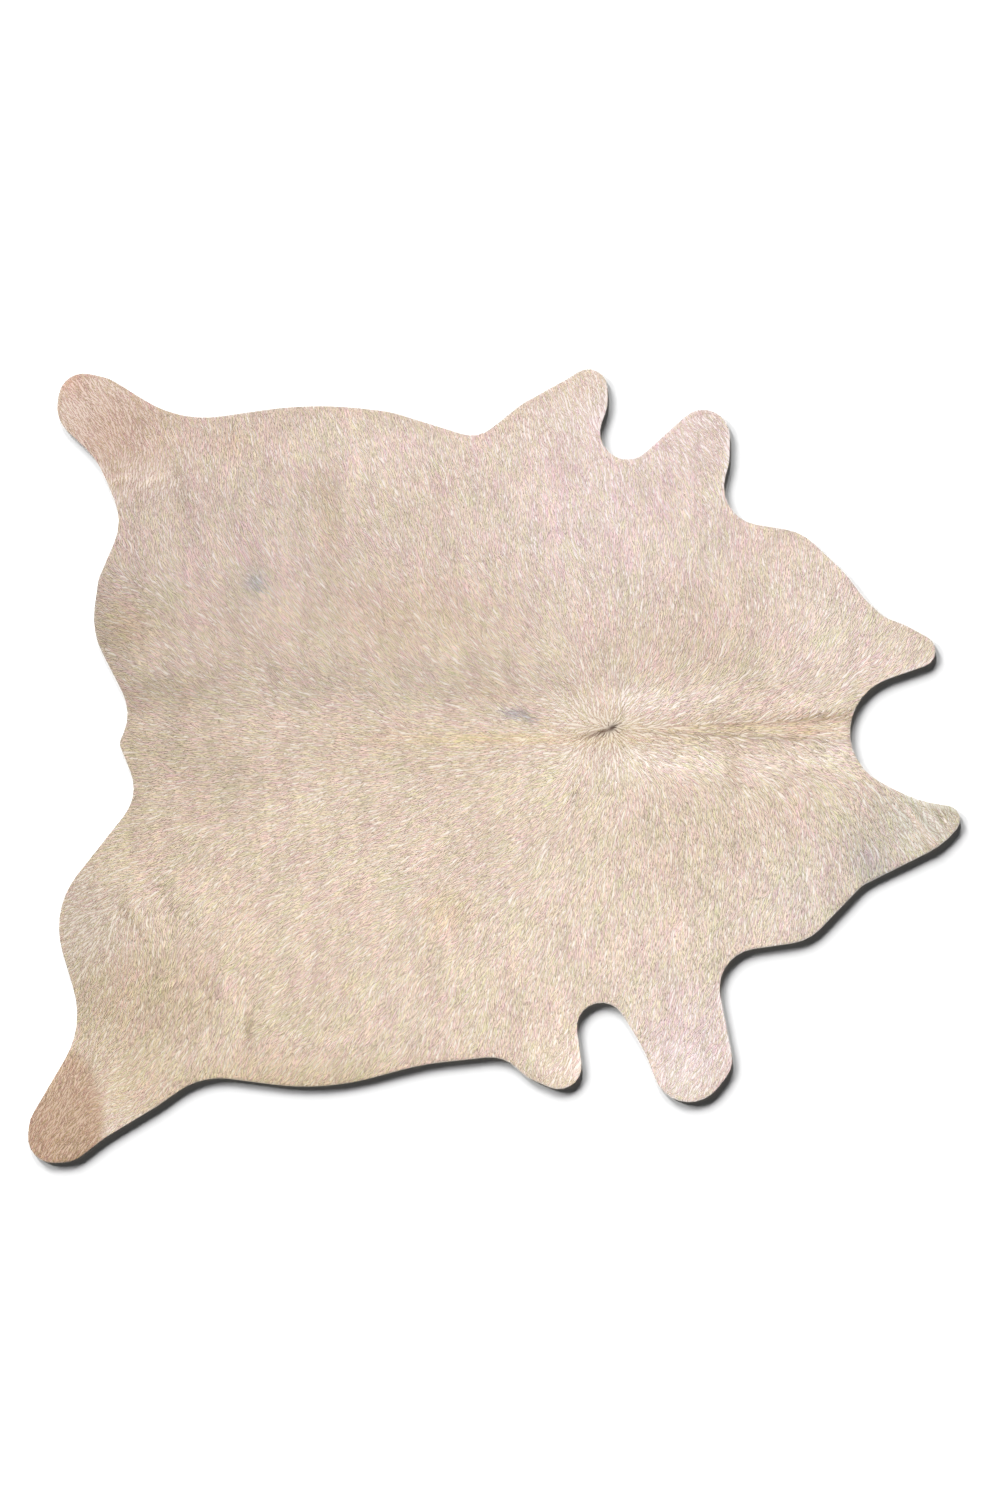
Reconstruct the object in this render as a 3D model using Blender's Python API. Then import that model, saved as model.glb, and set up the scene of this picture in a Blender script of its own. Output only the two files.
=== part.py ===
"""Cowhide rug: one hair-on hide lying flat on the floor, its tail towards -X and its neck towards +X.

The rim is drawn as a leather cutter's pattern: a belt of round lobes and bays joined by straight
runs. The hide is a sheet of leather with its hair lying on it, flat below and softly uneven on top.
"""

import math
from typing import NamedTuple

import bmesh
import bpy

# Driving sizes, in metres
HIDE_LENGTH = 2.134
LEATHER = 0.0025
LYING_HAIR = 0.0035
THICKNESS = LEATHER + LYING_HAIR

# The cut edge stands upright for half its height, then rounds over to the hair's full height
RIM_UPRIGHT = 0.5 * THICKNESS
RIM_ROUNDING = 0.004

# How finely the rim and the top are divided, in metres: a grid line nearer than SNAP to a point takes it
RIM_STEP = 0.030
RIM_SAG = 0.0007
TOP_STEP = 0.048
SNAP = 0.003
LEVEL_ERROR = 1e-6

# A fold fades out this share of its length from its middle
FOLD_REACH = 0.6

# Edges sharper than this stay crisp when the hide is shaded
CRISP_EDGE = math.radians(40.0)

MM = 0.001
LOBE = 1
BAY = -1

HAIR_COLOUR = (0.723, 0.591, 0.479, 1.0)
HAIR_ROUGHNESS = 0.75


class Round(NamedTuple):
    """One round stretch of the rim, in pattern millimetres: a lobe curves out and a bay curves in."""
    name: str
    x: float
    y: float
    radius: float
    side: int


class Fold(NamedTuple):
    """A soft ridge, or a trough where rise is below zero, in pattern millimetres and degrees."""
    name: str
    x: float
    y: float
    heading: float
    length: float
    width: float
    rise: float


class Patch(NamedTuple):
    """A wrinkled place, in pattern millimetres, where each square of the top is split further."""
    name: str
    x_low: float
    y_low: float
    x_high: float
    y_high: float
    split: int


# Clockwise from the tail, seen from above
RIM = (
    Round("tail nub", -840, 52, 18, LOBE),
    Round("tail bay", -952, 120, 112, BAY),
    Round("left rump", -740, 340, 177, LOBE),
    Round("left rump corner", -860, 415, 48, LOBE),
    Round("left thigh bay", -985, 562, 125, BAY),
    Round("left hock bay", -1068, 592, 190, BAY),
    Round("left hind leg back", -922, 824, 79, LOBE),
    Round("left hind leg tip", -940, 842, 58, LOBE),
    Round("left hind leg front", -911, 814, 79, LOBE),
    Round("left flank bay", -663, 1060, 261, BAY),
    Round("left belly", -400, -75, 900, LOBE),
    Round("left belly front", -266, 664, 150, LOBE),
    Round("left elbow bay", -52, 830, 72, BAY),
    Round("left tab root", 126, 739, 110, LOBE),
    Round("left tab back", 47, 1095, 240, BAY),
    Round("left tab tip", 216, 866, 44, LOBE),
    Round("left tab front", 171, 840, 90, LOBE),
    Round("left armpit bay", 305, 765, 62, BAY),
    Round("left front leg tip", 479, 755, 62, LOBE),
    Round("left front leg front", 420, 714, 120, LOBE),
    Round("left front leg bay", 614, 640, 87, BAY),
    Round("left shoulder", 646, 420, 125, LOBE),
    Round("left jaw", 709, 353, 130, LOBE),
    Round("left throat bay", 880, 412, 42, BAY),
    Round("left cheek bay", 928, 400, 66, BAY),
    Round("left cheek", 920, 270, 58, LOBE),
    Round("left cheek tip", 975, 264, 37, LOBE),
    Round("neck bay", 945, 78, 129, BAY),
    Round("right cheek bay", 1066, 220, 311, BAY),
    Round("right cheek tip", 1035, -123, 33, LOBE),
    Round("right jaw", 910, -28, 190, LOBE),
    Round("right throat bay", 880, -325, 62, BAY),
    Round("right shoulder", 668, -296, 111, LOBE),
    Round("right front leg bay", 607, -508, 90, BAY),
    Round("right front leg corner", 480, -672, 66, LOBE),
    Round("right front leg tip", 447, -687, 83, LOBE),
    Round("right front leg back", -52, -845, 440, BAY),
    Round("right armpit bay", 246, -598, 56, BAY),
    Round("right tab tip", 148, -687, 53, LOBE),
    Round("right tab back", 124, -639, 88, LOBE),
    Round("right elbow bay", -8, -752, 85, BAY),
    Round("right belly bay", -55, -1271, 596, BAY),
    Round("right belly", -432, -136, 598, LOBE),
    Round("right flank bay", -628, -882, 167, BAY),
    Round("right hind leg root", -844, -671, 130, LOBE),
    Round("right hind leg front", -735, -1078, 275, BAY),
    Round("right hind leg side", -990, -834, 74, LOBE),
    Round("right hind leg tip", -1010, -851, 58, LOBE),
    Round("right hind leg back", -990, -833, 76, LOBE),
    Round("right thigh bay", -1160, -568, 205, BAY),
    Round("right rump", -802, -370, 195, LOBE),
    Round("right tail bay", -929, -50, 103, BAY),
)

# Folds and ripples that show from a step away
FOLDS = (
    Fold("neck parting", 540, 100, 3, 560, 16, -1.6),
    Fold("neck ridge, left", 400, 152, 2, 190, 26, 1.3),
    Fold("neck ridge, right", 400, 24, 0, 330, 24, 1.5),
    Fold("neck ridge, right front", 705, 26, 0, 220, 24, 1.5),
    Fold("whorl", 256, 84, 20, 70, 18, -2.2),
    Fold("back ridge", -200, 64, 0, 820, 18, 1.2),
    Fold("back trough, left", -300, 152, 0, 560, 40, -0.9),
    Fold("rump hollow, left", -765, 151, 0, 150, 45, -1.0),
    Fold("rump side hollow, left", -850, 300, 80, 160, 45, -0.8),
    Fold("hock wrinkle 1", -850, 655, 28, 110, 9, 1.6),
    Fold("hock wrinkle 2", -800, 655, 28, 120, 9, 1.8),
    Fold("hock wrinkle 3", -778, 622, 30, 110, 9, 1.6),
    Fold("hock wrinkle 4", -812, 590, 32, 90, 9, 1.3),
    Fold("hock trough", -708, 650, -88, 200, 14, -1.2),
    Fold("flank trough, left", -382, 563, -88, 300, 22, -1.3),
    Fold("flank swell, left", -524, 690, 0, 120, 60, 0.9),
    Fold("shoulder trough, left", 506, 290, -88, 240, 24, -0.9),
    Fold("thigh ripple 1, right", -947, -300, -80, 120, 9, 1.0),
    Fold("thigh ripple 2, right", -917, -305, -80, 130, 9, 1.1),
    Fold("thigh ripple 3, right", -887, -312, -80, 120, 9, 1.0),
    Fold("thigh ridge, right", -708, -318, -50, 230, 16, 1.6),
    Fold("thigh ridge 2, right", -632, -410, -65, 180, 15, 1.3),
    Fold("thigh trough, right", -662, -502, -62, 170, 15, -1.6),
    Fold("thigh trough 2, right", -868, -502, -70, 200, 20, -1.0),
    Fold("flank pit, right", -559, -618, -80, 110, 14, -1.6),
    Fold("belly crease, right", -390, -637, 1, 270, 10, 1.8),
    Fold("belly hollow, right", -400, -683, 0, 320, 20, -1.2),
    Fold("belly ripple 1, right", -334, -470, -88, 210, 12, 1.3),
    Fold("belly ripple 2, right", -279, -480, -88, 200, 11, 1.0),
    Fold("belly ripple 3, right", -197, -430, -88, 240, 12, 1.3),
    Fold("belly ripple 4, right", -140, -440, -88, 260, 12, 1.5),
    Fold("belly ripple 5, right", -82, -500, -90, 230, 11, 1.4),
    Fold("belly ripple 6, right", -20, -490, -90, 200, 11, 1.2),
    Fold("cheek wrinkle 1, right", 912, -140, -58, 100, 7, 1.4),
    Fold("cheek wrinkle 2, right", 940, -146, -58, 105, 7, 1.7),
    Fold("cheek wrinkle 3, right", 968, -142, -58, 100, 7, 1.8),
    Fold("cheek wrinkle 4, right", 996, -136, -55, 90, 7, 1.6),
    Fold("cheek wrinkle 5, right", 1022, -130, -50, 60, 7, 1.2),
    Fold("cheek hollow, right", 860, -220, -45, 150, 40, -0.9),
)

# Wrinkled places, divided finely enough to carry their folds
PATCHES = (
    Patch("hock, left", -880, 570, -720, 700, 4),
    Patch("cheek, right", 880, -200, 1040, -100, 5),
    Patch("thigh ripples, right", -970, -370, -870, -240, 4),
    Patch("thigh, right", -770, -590, -550, -230, 2),
    Patch("belly, right", -540, -700, 20, -360, 2),
    Patch("neck", 220, 10, 800, 170, 2),
    Patch("back", -600, 50, 200, 80, 2),
)


def join(first, second):
    """Heading of the straight run that leaves one round stretch and meets the next, in radians."""
    across = second.x - first.x
    along = second.y - first.y
    gap = math.hypot(across, along)
    spread = second.side * second.radius - first.side * first.radius
    return math.atan2(along, across) + math.asin(spread / gap)


def arc_headings(rounding, enter, leave):
    """Headings at the points of one arc: lobes turn right and bays turn left."""
    sweep = (rounding.side * (enter - leave)) % math.tau
    by_sag = 2.0 * math.acos(1.0 - RIM_SAG / MM / rounding.radius)
    by_step = RIM_STEP / MM / rounding.radius
    count = max(1, math.ceil(sweep / min(by_sag, by_step)))
    return [enter - rounding.side * sweep * i / count for i in range(count + 1)]


def pattern(inset):
    """The rim as points in pattern millimetres, moved inwards by inset."""
    points = []
    for i, here in enumerate(RIM):
        enter = join(RIM[i - 1], here)
        leave = join(here, RIM[(i + 1) % len(RIM)])
        reach = here.side * here.radius - inset
        arc = []
        for heading in arc_headings(here, enter, leave):
            arc.append((here.x - reach * math.sin(heading), here.y + reach * math.cos(heading)))
        if points:
            points += straight_run(points[-1], arc[0])
        points += arc
    return points + straight_run(points[-1], points[0])


def straight_run(start, end):
    """Points between two arcs, without the ends; their number doesn't depend on the inset."""
    span = math.dist(start, end)
    count = max(1, math.ceil(span * MM / RIM_STEP))
    steps = [i / count for i in range(1, count)]
    return [(start[0] + (end[0] - start[0]) * t, start[1] + (end[1] - start[1]) * t) for t in steps]


def pattern_frame():
    """Scale from pattern millimetres to metres at the hide's length, and the pattern's centre."""
    rim = pattern(0.0)
    x_low, x_high = min(p[0] for p in rim), max(p[0] for p in rim)
    y_low, y_high = min(p[1] for p in rim), max(p[1] for p in rim)
    scale = HIDE_LENGTH / (x_high - x_low)
    return scale, 0.5 * (x_low + x_high), 0.5 * (y_low + y_high)


def fade(reach):
    """Falls smoothly from one at zero to nothing at one."""
    reach = min(1.0, abs(reach))
    return (1.0 - reach * reach) ** 2


def relief(x, y):
    """How far the top rises over the hide's even thickness at a pattern place, in millimetres."""
    total = 0.0
    for fold in FOLDS:
        heading = math.radians(fold.heading)
        along = (x - fold.x) * math.cos(heading) + (y - fold.y) * math.sin(heading)
        across = (y - fold.y) * math.cos(heading) - (x - fold.x) * math.sin(heading)
        ends = fade(along / (FOLD_REACH * fold.length))
        if ends > 0.0:
            total += fold.rise * ends * math.exp(-0.5 * (across / fold.width) ** 2)
    return total


def top_faces(mesh, box):
    """Faces of the flat top whose middle lies in a box."""
    found = []
    for face in mesh.faces:
        middle = face.calc_center_median()
        level = min(v.co.z for v in face.verts) > THICKNESS - LEVEL_ERROR
        if level and box[0] < middle.x < box[2] and box[1] < middle.y < box[3]:
            found.append(face)
    return found


def cut_squares(mesh, box, split):
    """Cuts the top inside a box along square grid lines, split times finer than TOP_STEP."""
    low = [math.floor(side / TOP_STEP) * split for side in box[:2]]
    high = [math.ceil(side / TOP_STEP) * split for side in box[2:]]
    step = TOP_STEP / split
    bounds = [side * step for side in (*low, *high)]
    for axis, normal in ((0, (1, 0, 0)), (1, (0, 1, 0))):
        for line in range(low[axis] + 1, high[axis]):
            place = [0.0, 0.0, 0.0]
            place[axis] = line * step
            faces = top_faces(mesh, bounds)
            edges = {e for f in faces for e in f.edges}
            verts = {v for f in faces for v in f.verts}
            bmesh.ops.bisect_plane(mesh, geom=[*verts, *edges, *faces], dist=SNAP,
                                   plane_co=place, plane_no=normal)


def rim_ring(mesh, inset, height, frame):
    """One ring of points round the rim, at a height."""
    scale, x_mid, y_mid = frame
    ring = []
    for x, y in pattern(inset / MM):
        ring.append(mesh.verts.new(((x - x_mid) * scale, (y - y_mid) * scale, height)))
    return ring


def bridge(mesh, lower, upper):
    """Joins two rings with a band of quads."""
    count = len(lower)
    for i in range(count):
        j = (i + 1) % count
        mesh.faces.new((lower[i], lower[j], upper[j], upper[i]))


def raise_folds(mesh, frame):
    """Thickens and thins the hide with its folds, while its underside stays flat."""
    scale, x_mid, y_mid = frame
    for vert in mesh.verts:
        if vert.co.z > 0.0:
            rise = relief(vert.co.x / scale + x_mid, vert.co.y / scale + y_mid) * MM
            vert.co.z *= 1.0 + rise / THICKNESS


def hide_mesh():
    """The whole hide: flat underside, upright cut edge, rounded rim and uneven top."""
    frame = scale, x_mid, y_mid = pattern_frame()
    mesh = bmesh.new()
    floor_ring = rim_ring(mesh, 0.0, 0.0, frame)
    edge_ring = rim_ring(mesh, 0.0, RIM_UPRIGHT, frame)
    top_ring = rim_ring(mesh, RIM_ROUNDING, THICKNESS, frame)
    bridge(mesh, floor_ring, edge_ring)
    bridge(mesh, edge_ring, top_ring)
    mesh.faces.new(floor_ring)
    mesh.faces.new(top_ring)

    half_x = 0.5 * HIDE_LENGTH
    half_y = max(v.co.y for v in floor_ring)
    cut_squares(mesh, (-half_x, -half_y, half_x, half_y), 1)
    for patch in PATCHES:
        low = ((patch.x_low - x_mid) * scale, (patch.y_low - y_mid) * scale)
        high = ((patch.x_high - x_mid) * scale, (patch.y_high - y_mid) * scale)
        cut_squares(mesh, (*low, *high), patch.split)

    bmesh.ops.triangulate(mesh, faces=mesh.faces)
    raise_folds(mesh, frame)
    bmesh.ops.recalc_face_normals(mesh, faces=mesh.faces)
    data = bpy.data.meshes.new("hide")
    mesh.to_mesh(data)
    mesh.free()
    return data


def hide_material():
    """Cream hair, lying flat on tanned leather."""
    material = bpy.data.materials.new("hair-on cowhide")
    material.use_nodes = True
    shader = material.node_tree.nodes["Principled BSDF"]
    shader.inputs["Base Color"].default_value = HAIR_COLOUR
    shader.inputs["Roughness"].default_value = HAIR_ROUGHNESS
    shader.inputs["Metallic"].default_value = 0.0
    return material


def main():
    for thing in list(bpy.data.objects):
        bpy.data.objects.remove(thing)
    rug = bpy.data.collections.new("cowhide rug")
    bpy.context.scene.collection.children.link(rug)
    hide = bpy.data.objects.new("hide", hide_mesh())
    hide.data.materials.append(hide_material())
    hide.data.shade_smooth()
    hide.data.set_sharp_from_angle(angle=CRISP_EDGE)
    rug.objects.link(hide)


main()
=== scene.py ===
# %% [markdown]
# # Dressing a cowhide rug
# A cowhide rug is one tanned hide with its hair left on, cut round the rim and laid flat. The frame
# holds it as a thin flat solid. This lesson gives it its skin, its cut edge and its coat of hair.
# The scene is in metres, in the frame's own place: +X towards the neck, +Y towards the left side.
# Tables are in millimetres and degrees, which are easier to read off and to change.

# %% The frame and the tools
import math
from typing import NamedTuple

import bmesh
import bpy
import numpy as np
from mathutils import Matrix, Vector
from mathutils.bvhtree import BVHTree
from mathutils.geometry import delaunay_2d_cdt


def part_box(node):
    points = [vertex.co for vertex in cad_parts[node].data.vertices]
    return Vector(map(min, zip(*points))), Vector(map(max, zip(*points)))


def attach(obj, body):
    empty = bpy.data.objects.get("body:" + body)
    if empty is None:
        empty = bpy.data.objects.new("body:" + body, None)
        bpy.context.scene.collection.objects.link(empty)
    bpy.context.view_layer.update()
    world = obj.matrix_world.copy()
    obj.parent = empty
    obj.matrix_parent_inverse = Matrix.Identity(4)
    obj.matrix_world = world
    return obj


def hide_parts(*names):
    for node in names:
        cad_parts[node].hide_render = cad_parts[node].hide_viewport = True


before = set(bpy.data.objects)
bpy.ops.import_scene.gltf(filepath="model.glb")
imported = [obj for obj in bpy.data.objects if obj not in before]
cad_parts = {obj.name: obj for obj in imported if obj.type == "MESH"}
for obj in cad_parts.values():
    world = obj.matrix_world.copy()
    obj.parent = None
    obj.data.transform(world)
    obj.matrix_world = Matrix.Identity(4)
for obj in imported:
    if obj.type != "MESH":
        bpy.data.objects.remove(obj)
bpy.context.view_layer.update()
HIDE_LOW, HIDE_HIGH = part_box("hide")
MM = 0.001
SCENE = bpy.context.scene


def put(name, data):
    """A new object in the scene."""
    thing = bpy.data.objects.new(name, data)
    SCENE.collection.objects.link(thing)
    return thing


print("hide", [round(h - l, 4) for l, h in zip(HIDE_LOW, HIDE_HIGH)], "m")

# %% [markdown]
# ## Camera
# The photograph looks straight down on the rug, with its tail to the left. A long lens far above
# keeps the view almost free of perspective, as a cut-out product picture is.

# %% Camera straight above
VIEW_HEIGHT = 3.435      # how much of the floor the picture's long side spans
VIEW_MIDDLE = (0.0137, 0.0366)
LENS = 120.0             # millimetres, on a 36 mm sensor
SENSOR = 36.0

camera_data = bpy.data.cameras.new("camera")
camera_data.lens = LENS
camera_data.sensor_width = SENSOR
camera_data.clip_end = 100.0
camera = put("camera", camera_data)
camera.location = (*VIEW_MIDDLE, VIEW_HEIGHT * LENS / SENSOR)
SCENE.camera = camera
print("camera at", [round(c, 2) for c in camera.location])

# %% [markdown]
# ## Colours and nodes
# Colours are picked as sRGB hex values, as a colour picker shows them, and one function turns them
# into the linear values that a shader wants. A second starts a material, and a third adds a node
# with its settings and links, for materials and Geometry Nodes alike.

# %% Three helpers
def linear(code):
    """An sRGB hex colour as linear red, green and blue, with nothing see-through."""
    parts = [int(code[i:i + 2], 16) / 255 for i in (0, 2, 4)]
    return (*(c / 12.92 if c <= 0.04045 else ((c + 0.055) / 1.055) ** 2.4 for c in parts), 1.0)


def new_material(name):
    """A new material, its nodes and its shader."""
    material = bpy.data.materials.new(name)
    material.use_nodes = True
    return material, material.node_tree, material.node_tree.nodes["Principled BSDF"]


# the kinds of node that are used most
MATH, VECTOR, RANGE, NOISE = [
    "ShaderNode" + kind for kind in ("Math", "VectorMath", "MapRange", "TexNoise")]
STORE, READ = "GeometryNodeStoreNamedAttribute", "GeometryNodeInputNamedAttribute"


def add(tree, kind, sockets=None, operation=None, **settings):
    """Adds a node. Sockets are named, or counted where names repeat, and take a value or a link."""
    node = tree.nodes.new(kind)
    if operation:
        node.operation = operation
    for name, value in settings.items():
        setattr(node, name, value)
    for key, value in (sockets or {}).items():
        if isinstance(key, int):
            socket = node.inputs[key]
        else:
            socket = next(s for s in node.inputs if s.name == key and s.enabled)
        if isinstance(value, bpy.types.Node):
            value = next(s for s in value.outputs if s.enabled)
        if isinstance(value, bpy.types.NodeSocket):
            tree.links.new(value, socket)
        else:
            socket.default_value = value
    return node


print("cream", [round(c, 3) for c in linear("E0CDB9")])

# %% [markdown]
# ## The skin
# Under the hair lies about 2.5 mm of tanned leather with a thin undercoat. The CAD solid already
# has the rim and the folds, so both are read from it and a finer skin is drawn over it. Its mesh is
# loose triangles, so a copy is merged first. Cutting those triangles finer would leave slivers. A
# new even net, drawn in plan and dropped on the solid from above, is smoother.

# %% The rim, read from the solid
MERGE = 1e-5
DOWNWARDS = -0.9         # a face looks down where its normal points further down than this

solid = bmesh.new()
solid.from_mesh(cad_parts["hide"].data)
bmesh.ops.remove_doubles(solid, verts=solid.verts, dist=MERGE)
solid.normal_update()


def is_rim(edge):
    """True for an edge between the underside and the cut side."""
    down = [face.normal.z < DOWNWARDS for face in edge.link_faces]
    return len(down) == 2 and down[0] != down[1]


beside = {}
for edge in filter(is_rim, solid.edges):
    a, b = edge.verts
    beside.setdefault(a, []).append(b)
    beside.setdefault(b, []).append(a)
walk = [next(iter(beside))]
walk.append(beside[walk[0]][0])
while walk[-1] is not walk[0]:
    walk.append(next(v for v in beside[walk[-1]] if v is not walk[-2]))
rim = np.array([v.co.xy[:] for v in walk[:-1]])
ahead = np.roll(rim, -1, axis=0)
if (rim[:, 0] * ahead[:, 1] - rim[:, 1] * ahead[:, 0]).sum() < 0:
    rim = rim[::-1]
print("rim of", len(rim), "points out of", len(beside))

# %% [markdown]
# The solid's folds are soft. The finest wrinkles, at the hock, the cheek, the belly, the rump and the
# parting of the neck, are pressed in one by one, each a soft ridge or trough with a place of its own.

# %% Soft ovals, for all that is set at a place of its own
class Oval(NamedTuple):
    """An oval with an amount of something. Its length and width count from its middle."""
    name: str
    x: float
    y: float
    length: float
    width: float
    amount: float
    heading: float = 0.0
    crisp: float = 1.0


def turned(oval, x, y):
    """How far places lie along and across an oval from its middle."""
    turn = math.radians(oval.heading)
    return ((x - oval.x) * math.cos(turn) + (y - oval.y) * math.sin(turn),
            (y - oval.y) * math.cos(turn) - (x - oval.x) * math.sin(turn))


def share(oval, x, y):
    """1 in the middle of an oval and less further out. A crisp oval ends more suddenly."""
    along, across = turned(oval, x, y)
    return np.exp(-((along / oval.length) ** 2 + (across / oval.width) ** 2) ** oval.crisp)


print("an oval has", ", ".join(Oval._fields))

# %% Fine wrinkles
CREASE_REACH = 0.6       # of its length, where a crease has faded out
CREASE_SIDES = 3.0       # of its width, beyond which it is too weak to show


def crease_height(crease, x, y):
    """How far a crease lifts the skin, in millimetres as its places are."""
    along, across = turned(crease, x, y)
    ends = np.clip(1 - (along / (CREASE_REACH * crease.length)) ** 2, 0, 1) ** 2
    return crease.amount * ends * np.exp(-0.5 * (across / crease.width) ** 2)


def crease_near(crease, x, y):
    """True where a crease is strong enough to need a fine net."""
    along, across = turned(crease, x, y)
    return ((abs(along) < CREASE_REACH * crease.length)
            & (abs(across) < CREASE_SIDES * crease.width))


CREASES = [Oval(*row) for row in (
    ("hock 1", -853, 656, 52, 5, 0.7, 25),
    ("hock 2", -781, 655, 92, 5, 0.7, 25),
    ("cheek 1", 960, -121, 104, 5, 0.9, -54),
    ("cheek 2", 1031, -124, 50, 5, 0.9, -61),
    ("cheek 3", 1000, -173, 50, 5, 0.9, -62),
    ("cheek 4", 975, -112, 92, 4, -0.8, -52),
    ("belly crease", -350, -630, 200, 10, 0.7, 5),
    ("belly crease 2", -479, -600, 110, 10, 0.7, -37),
    ("scar", -746, -497, 70, 4, 0.8, 23),
    ("rump fold 1", -902, -330, 110, 5, 0.6, -66),
    ("rump fold 2", -817, -360, 125, 5, 0.7, -57),
    ("rump fold 3", -668, -478, 110, 7, 0.9, -58),
    ("upper edge of the parting", 565, 97, 520, 4, -0.7, 2.5),
    ("lower edge of the parting", 565, 66, 520, 4, -0.7, -2.5),
    ("whorl pit", 252, 82, 60, 9, -1.4, 25),
)]
print(len(CREASES), "wrinkles, the highest", max(c.amount for c in CREASES), "mm")

# %% [markdown]
# The net has three parts: the rim itself, a ring just inside it where the rounded edge ends, and an
# even field of points. A triangulation in plan joins them. The top takes its height from the solid
# below, less the depth of the lying hair, which fills that room again later.

# %% The net in plan
COAT_DEPTH = 2.6 * MM
NET = 9.5 * MM
FINE_NET = 5 * MM        # at the wrinkles
ROUNDING = 2.5 * MM      # width of the rounded band along the rim
LEAST_INSET = 0.8 * ROUNDING    # in tight notches the inset ring comes closer, and is left out
CLEAR_OF_RIM = 9 * MM
RIM_STEP = 8 * MM
INSIDE_ONLY = 1          # the triangulation keeps within the outline
NEARNESS = 1e-7          # points closer than this are one


def neighbours(ring):
    """The numbers of each point of a closed ring and of the next one."""
    return [(i, (i + 1) % len(ring)) for i in range(len(ring))]


def dense(ring, step):
    """The same ring with its long sides divided."""
    points = []
    for a, b in zip(ring, np.roll(ring, -1, axis=0)):
        parts = max(1, math.ceil(np.linalg.norm(b - a) / step))
        points += [a + (b - a) * i / parts for i in range(parts)]
    return np.array(points)


def inset(ring, distance):
    """The same ring moved inwards."""
    run = np.roll(ring, -1, axis=0) - np.roll(ring, 1, axis=0)
    run /= np.linalg.norm(run, axis=1)[:, None]
    return ring + distance * np.stack([-run[:, 1], run[:, 0]], 1)


def rim_distance(points):
    """How far each point lies inside the rim, below zero outside it."""
    ends = np.roll(rim, -1, axis=0)
    run = ends - rim
    nearest = np.full(len(points), np.inf)
    inside = np.zeros(len(points), bool)
    for a, b, r in zip(rim, ends, run):
        t = np.clip(((points - a) @ r) / (r @ r), 0, 1)
        nearest = np.minimum(nearest, np.linalg.norm(points - a - t[:, None] * r, axis=1))
        if r[1]:
            rise = (points[:, 1] - a[1]) / r[1]
            inside ^= (0 <= rise) & (rise < 1) & (points[:, 0] < a[0] + rise * r[0])
    return np.where(inside, nearest, -nearest)


def lattice(spacing):
    """An even field of points over the hide's box, every second row shifted by half a step."""
    columns = np.arange(HIDE_LOW[0], HIDE_HIGH[0], spacing)
    rows = np.arange(HIDE_LOW[1], HIDE_HIGH[1], spacing * math.sqrt(3) / 2)
    return np.array([(x + spacing / 2 * (i % 2), y) for i, y in enumerate(rows) for x in columns])


def wrinkled(points):
    """True for points that lie on a fine wrinkle."""
    x, y = points.T / MM
    return np.any([crease_near(c, x, y) for c in CREASES], axis=0)


coarse, fine = lattice(NET), lattice(FINE_NET)
field = np.concatenate([coarse[~wrinkled(coarse)], fine[wrinkled(fine)]])
field = field[rim_distance(field) > CLEAR_OF_RIM]
outline = dense(rim, RIM_STEP)
loop = neighbours(outline)
shoulder = inset(outline, ROUNDING)
kept = np.flatnonzero(rim_distance(shoulder) > LEAST_INSET)
shoulder = shoulder[kept]
first = len(outline)
inner_loop = [(first + i, first + i + 1) for i in np.flatnonzero(np.diff(kept) == 1).tolist()]
plan = [Vector(p) for p in np.concatenate([outline, shoulder, field])]
net_places, _, net_faces, *_ = delaunay_2d_cdt(
    plan, loop + inner_loop, [], INSIDE_ONLY, NEARNESS)
print("net of", len(net_places), "points and", len(net_faces), "faces")

# %% The skin, dropped on the solid
SIDE_HEIGHT = 3 * MM     # where the solid's upright cut edge ends and the rounding starts
FROM_ABOVE = 0.1         # where the rays that feel for the solid start
FOLDS = 1.8 * MM         # how far the highest fold stands over the level top
SMOOTHING_ROUNDS = 5

probe = BVHTree.FromBMesh(solid)
depth_share = COAT_DEPTH / (HIDE_HIGH[2] - FOLDS)


def skin_height(x, y):
    """The solid's height there, less the depth of the lying hair."""
    hit = probe.ray_cast((x, y, FROM_ABOVE), (0, 0, -1))[0]
    height = hit.z if hit else SIDE_HEIGHT
    return height - min(COAT_DEPTH, height * depth_share)


side_top = SIDE_HEIGHT * (1 - depth_share)
skin_mesh = bmesh.new()
top = [skin_mesh.verts.new((p.x, p.y, side_top if i < first else skin_height(p.x, p.y)))
       for i, p in enumerate(net_places)]
for corners in net_faces:
    skin_mesh.faces.new([top[i] for i in corners])
for _ in range(SMOOTHING_ROUNDS):
    bmesh.ops.smooth_vert(
        skin_mesh, verts=top[first + len(shoulder):], factor=0.5, use_axis_z=True)
for v in top[first:]:
    v.co.z += float(sum(crease_height(c, v.co.x / MM, v.co.y / MM) for c in CREASES)) * MM
bottom = [skin_mesh.verts.new((x, y, 0.0)) for x, y in outline]
_, _, under_faces, *_ = delaunay_2d_cdt(
    [Vector(p) for p in outline], loop, [], INSIDE_ONLY, NEARNESS)
for corners in under_faces:
    skin_mesh.faces.new([bottom[i] for i in reversed(corners)])
for a, b in loop:
    skin_mesh.faces.new([bottom[a], bottom[b], top[b], top[a]])
skin_mesh.normal_update()
solid.free()
open_edges = sum(not e.is_manifold for e in skin_mesh.edges)
print("skin has", len(skin_mesh.faces), "faces; open edges:", open_edges)

# %% The rim as a wall, which later trims the hair
WALL_LOW, WALL_HIGH = -20 * MM, 40 * MM

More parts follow.
